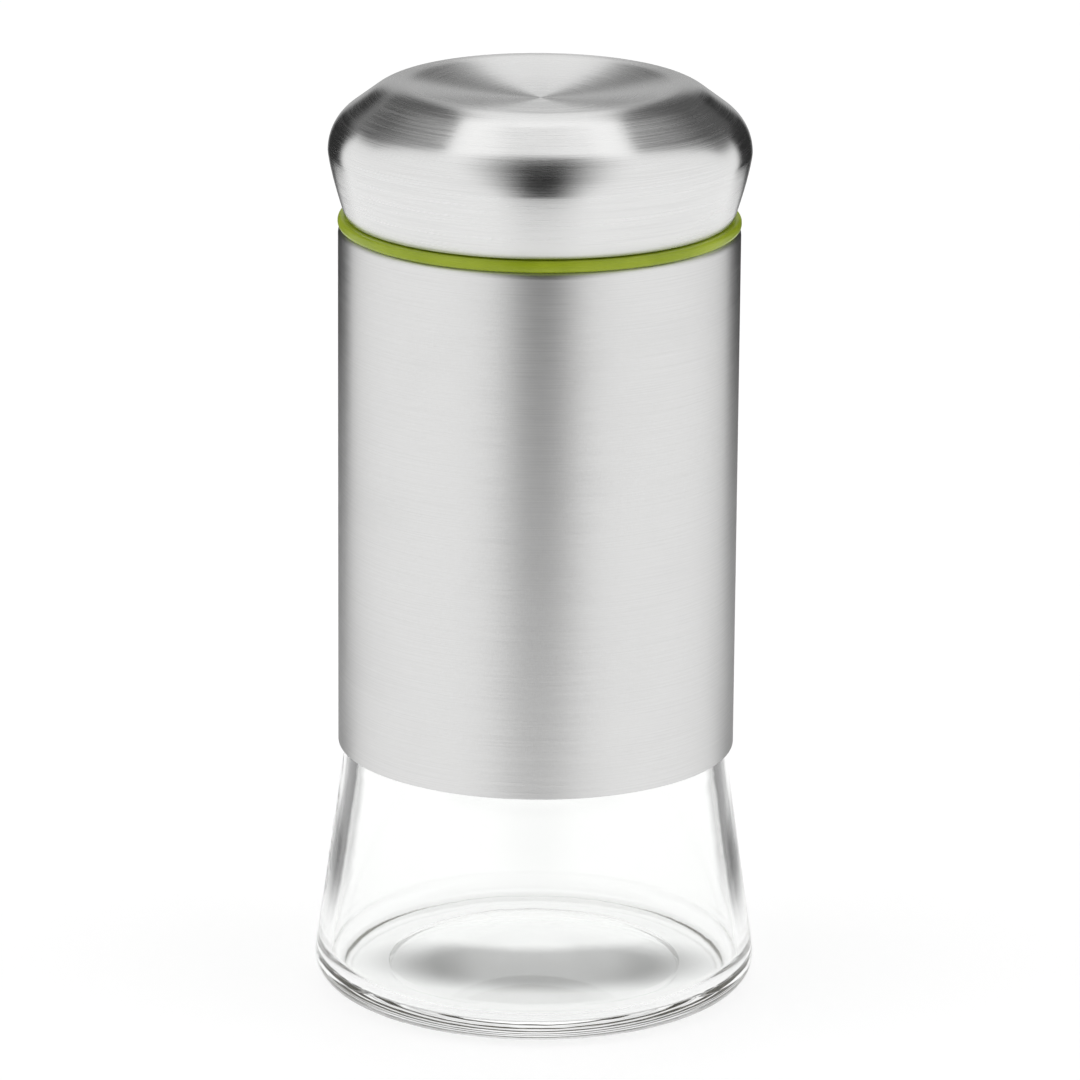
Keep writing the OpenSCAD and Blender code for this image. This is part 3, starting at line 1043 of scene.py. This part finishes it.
@dataclass(frozen=True)
class TableTop(Finish):
    """A white top with the shaker's soft shadow, a painted shade under the jar, and painted dark cards
    behind it that only rays through the glass and reflections see.

    The tones are the top's grey where it only lights the object and, where it is seen, in the open
    and in the painted shade. Polished metal sees the top out to reach, which differs to the front and
    towards the dark corners. The painted shade's two numbers are the light left in its middle and at
    its ends.
    """

    name: str = "white_table"
    tone: float = 0.86
    lit_tones: Span = (0.5, 0.3)
    glow: float = 0.7
    reach: float = 0.33
    front_reach: float = 0.30
    front_turn: Span = (0.7, 0.3)
    corner_reach: float = 0.36
    corner_side: float = 0.026
    soft: Span = (0.04, 0.16)
    # The painted pool of light and the painted shade on the top under the jar.
    painted_pool_middle: float = 0.039
    painted_pool_radius: Span = (0.030, 0.035)
    painted_shade: Span = (0.24, 0.0)
    painted_shade_shift: float = 1.2 * MM
    painted_shade_narrow: float = 0.46
    painted_shade_reach: Span = (0.0130, 0.0062)
    painted_shade_ends: Span = (0.008, 0.015)
    # The painted dark cards behind the foot.
    painted_card_start: Span = (0.04, 0.075)
    painted_card_end: Span = (0.12, 0.09)
    painted_card_level: float = 0.2

    def shader(self, wires: Wires) -> Socket:
        """Lit where it is seen, clear past its edge for polished metal, and painted dark on the cards.

        Args:
            wires: The material's nodes.

        Returns:
            The shader.
        """
        x, y, _ = wires.place("Object")[1]
        side, radius = wires.math("ABSOLUTE", x), wires.length(x, y)
        turned = wires.math("ARCTAN2", wires.math("SUBTRACT", side, self.corner_side), y)
        path = wires.add("LightPath").outputs
        bent, mirrored = path["Is Transmission Ray"], path["Is Glossy Ray"]
        plain = wires.add("BsdfDiffuse", {"Color": grey(self.tone)}).outputs[0]
        seen = wires.math("MAXIMUM", path["Is Camera Ray"], bent, mirrored)
        top = wires.mix(seen, plain, self.lit(wires, x, y))
        past = wires.times(self.past(wires, side, y, radius, turned), mirrored)
        top = wires.mix(past, top, wires.add("BsdfTransparent").outputs[0])
        # Painted dark cards: the top turns dark for rays through the glass and for reflections near the
        # foot.
        rays = wires.math("MAXIMUM", bent, wires.times(mirrored, wires.ease(radius, *self.painted_card_end)))
        painted_card = wires.times(PAINTED_CARDS.share(wires, turned), wires.ease(radius, *self.painted_card_start), rays)
        return wires.mix(painted_card, top, wires.light("Emission", self.painted_card_level))

    def lit(self, wires: Wires, x: Socket, y: Socket) -> Socket:
        """The top as it is seen, with an oval painted shade that a painted pool of light behind it cuts
        off.

        Args:
            wires: The material's nodes.
            x: Place across.
            y: Place from front to back.

        Returns:
            The shader.
        """
        # Painted shade: an oval under the jar, cut off at the back by a painted pool of light, dims the
        # glow and the grey.
        across = wires.away(x, self.painted_shade_shift)
        painted_pool = wires.length(x, wires.math("SUBTRACT", y, self.painted_pool_middle))
        oval = wires.length(wires.times(across, self.painted_shade_narrow), y)
        painted_shade = wires.times(wires.ease(painted_pool, *self.painted_pool_radius), wires.ease(oval, *self.painted_shade_reach))
        depth = wires.ease(across, *self.painted_shade_ends, *(self.glow - level for level in self.painted_shade))
        level = wires.math("SUBTRACT", self.glow, wires.times(painted_shade, depth))
        tone = wires.blend(painted_shade, *(grey(tone) for tone in self.lit_tones))
        diffuse = wires.add("BsdfDiffuse", {"Color": tone}).outputs[0]
        return wires.add("AddShader", {0: diffuse, 1: wires.light("Emission", level)}).outputs[0]

    def past(self, wires: Wires, side: Socket, y: Socket, radius: Socket, turned: Socket) -> Socket:
        """Finds what lies past the edge of the top that polished metal sees.

        Args:
            wires: The material's nodes.
            side: Way from the middle plane.
            y: Place from front to back.
            radius: Way from the axis.
            turned: Angle from straight back.

        Returns:
            From 0 on the top to 1 past its edge.
        """
        back_soft, front_soft = self.soft
        limit = CORNERS.share(wires, turned, self.reach, self.corner_reach)
        past = wires.ease(wires.math("SUBTRACT", radius, limit), -back_soft, back_soft)
        nearer = wires.ease(radius, self.front_reach - front_soft, self.front_reach + front_soft)
        ahead = wires.math("ARCTAN2", side, wires.times(y, -1.0))
        nearer = wires.times(nearer, wires.ease(ahead, *self.front_turn))
        return wires.math("MAXIMUM", past, nearer)


@dataclass(frozen=True)
class Tent:
    """A white tent round the table, which is open to the camera, at its two rear corners and
    between its roof and its sides.

    A pair of numbers gives the part of a direction, across, back or up, at which something starts
    and is whole.
    """

    front_shift: float = 0.02
    front_width: Span = (0.46, 0.05)
    front_start: Span = (-0.02, -0.25)
    front_rise: Span = (-0.2, 0.35)
    front_spread: float = 0.5
    corner_dark: Span = (0.40, 0.22)
    corner_top: Span = (0.85, 0.70)
    back_width: Span = (0.45, 0.25)
    back_top: Span = (0.42, 0.24)
    back_start: Span = (0.0, 0.4)
    back_dim: float = 0.52
    gap_origin: float = 0.978
    gap_edge: float = 0.03
    gap_slope: float = 0.51
    gap_soft: float = 0.03
    gap_reach: Span = (1.05, 0.95)
    gap_low: Span = (0.28, 0.44)
    gap_lean: float = 0.12
    gap_back: Span = (0.4, 0.65)
    gap_drop: float = 0.065
    gap_light: Span = (0.77, 0.93)
    dark: float = 0.03
    through: float = 0.8
    roof_start: Span = (0.8, 0.95)
    roof_extra: float = 0.28

    def build(self) -> None:
        """White for the camera, and for other rays the cloth with its dark openings."""
        world = bpy.data.worlds.new("studio_tent")
        world.use_nodes = True
        bpy.context.scene.world = world
        wires = Wires(world.node_tree)
        x, y, z = wires.place("Generated")[1]
        side = wires.math("ABSOLUTE", x)
        path = wires.add("LightPath").outputs
        bent = path["Is Transmission Ray"]
        opening = wires.math("MAXIMUM", self.front(wires, x, y, z), self.corner(wires, side, y, z),
                             self.gap(wires, x, y, z))
        floor = wires.math("MAXIMUM", wires.times(bent, self.through), self.dark)
        back = wires.times(wires.ease(side, *self.back_width), wires.ease(z, *self.back_top),
                          wires.ease(y, *self.back_start, 0.0, self.back_dim),
                          wires.math("SUBTRACT", 1.0, bent))
        cloth = wires.math("ADD", 1.0, wires.ease(z, *self.roof_start, 0.0, self.roof_extra))
        cloth = wires.math("SUBTRACT", cloth, back)
        level = wires.add("Mix", {0: opening, 2: cloth, 3: floor}, data_type="FLOAT").outputs[0]
        mixed = wires.mix(path["Is Camera Ray"], wires.light("Background", level),
                          wires.light("Background", 1.0))
        wires.add("OutputWorld", {"Surface": mixed})

    def front(self, wires: Wires, x: Socket, y: Socket, z: Socket) -> Socket:
        """The opening to the camera, which is wider at its top."""
        off = wires.math("DIVIDE", wires.away(x, self.front_shift),
                         wires.ease(z, *self.front_rise, 1.0, 1.0 + self.front_spread))
        return wires.times(wires.ease(off, *self.front_width), wires.ease(y, *self.front_start))

    def corner(self, wires: Wires, side: Socket, y: Socket, z: Socket) -> Socket:
        """The rear corners, which are as dark as the front below and as grey as the gap above."""
        band = CORNERS.share(wires, wires.math("ARCTAN2", side, y))
        return wires.times(band, wires.ease(z, *self.corner_top),
                           wires.ease(z, *self.corner_dark, self.gap_light[0], 1.0))

    def gap(self, wires: Wires, x: Socket, y: Socket, z: Socket) -> Socket:
        """The gap between the cloth overhead and the cloth at each side.

        Seen from above, the edge of the cloth overhead starts close to where a level mirror on the
        axis sends the camera's line of sight, and runs away from the middle plane from there.

        Args:
            wires: The world's nodes.
            x: The direction's part across.
            y: The direction's part to the back.
            z: The direction's part up.

        Returns:
            How far the gap is open.
        """
        side = wires.math("ABSOLUTE", x)
        ahead = wires.math("SUBTRACT", self.gap_origin, y)
        run = wires.length(side, ahead)
        past = wires.math("SUBTRACT", side, wires.times(ahead, self.gap_slope))
        level = wires.math("ADD", z, wires.times(x, self.gap_lean),
                           wires.ease(y, *self.gap_back, 0.0, self.gap_drop))
        return wires.times(
            wires.ease(past, self.gap_edge - self.gap_soft, self.gap_edge + self.gap_soft),
            wires.ease(y, *self.gap_back, *self.gap_light), wires.ease(run, *self.gap_reach),
            wires.ease(level, *self.gap_low))


@dataclass
class Studio:
    """The camera, the tent and the table."""

    camera_place: Corner = (0.0, -0.8547, 0.3105)
    camera_pitch: float = 16.22
    camera_roll: float = 0.448
    focal_length: float = 218.6
    sensor: float = 36.0
    shift: Span = (0.0026, 0.00056)
    clip: Span = (0.01, 50.0)
    table_drop: float = 0.05 * MM
    table_size: float = 6.0

    def build(self) -> None:
        """Makes the camera, the tent and the table."""
        self.camera()
        Tent().build()
        self.table()

    def camera(self) -> None:
        """Sets the camera where the photograph was taken from."""
        data = bpy.data.cameras.new("camera")
        data.lens, data.sensor_width = self.focal_length, self.sensor
        data.shift_x, data.shift_y = self.shift
        data.clip_start, data.clip_end = self.clip
        obj = bpy.data.objects.new("camera", data)
        tilt = Matrix.Rotation(math.radians(90 - self.camera_pitch), 4, "X")
        roll = Matrix.Rotation(math.radians(self.camera_roll), 4, "Z")
        obj.matrix_world = Matrix.Translation(self.camera_place) @ tilt @ roll
        bpy.context.scene.collection.objects.link(obj)
        bpy.context.scene.camera = obj

    def table(self) -> None:
        """A wide white table top just under the foot."""
        edge = self.table_size * np.array([[-1, -1, 0], [1, -1, 0], [1, 1, 0], [-1, 1, 0]])
        surface = Surface(edge - (0, 0, self.table_drop), [np.arange(4)[None]])
        obj = surface.to_object("table_top")
        TableTop().on(obj)


def main() -> None:
    """Builds and dresses the sub-assemblies from the foot up, then sets the studio round them."""
    logging.basicConfig(level=logging.INFO, format="%(name)s: %(message)s")
    bpy.context.scene.view_settings.view_transform = "Standard"
    for part in (GlassJar(), Sleeve(), GreenRing(), ShakerInsert(), ScrewCap()):
        part.build()
        part.dress()
        LOG.info("%s is dressed", type(part).__name__)
    Studio().build()
    cycles = bpy.context.scene.cycles
    cycles.max_bounces = cycles.glossy_bounces = cycles.transmission_bounces = BOUNCES


if __name__ == "__main__":
    main()
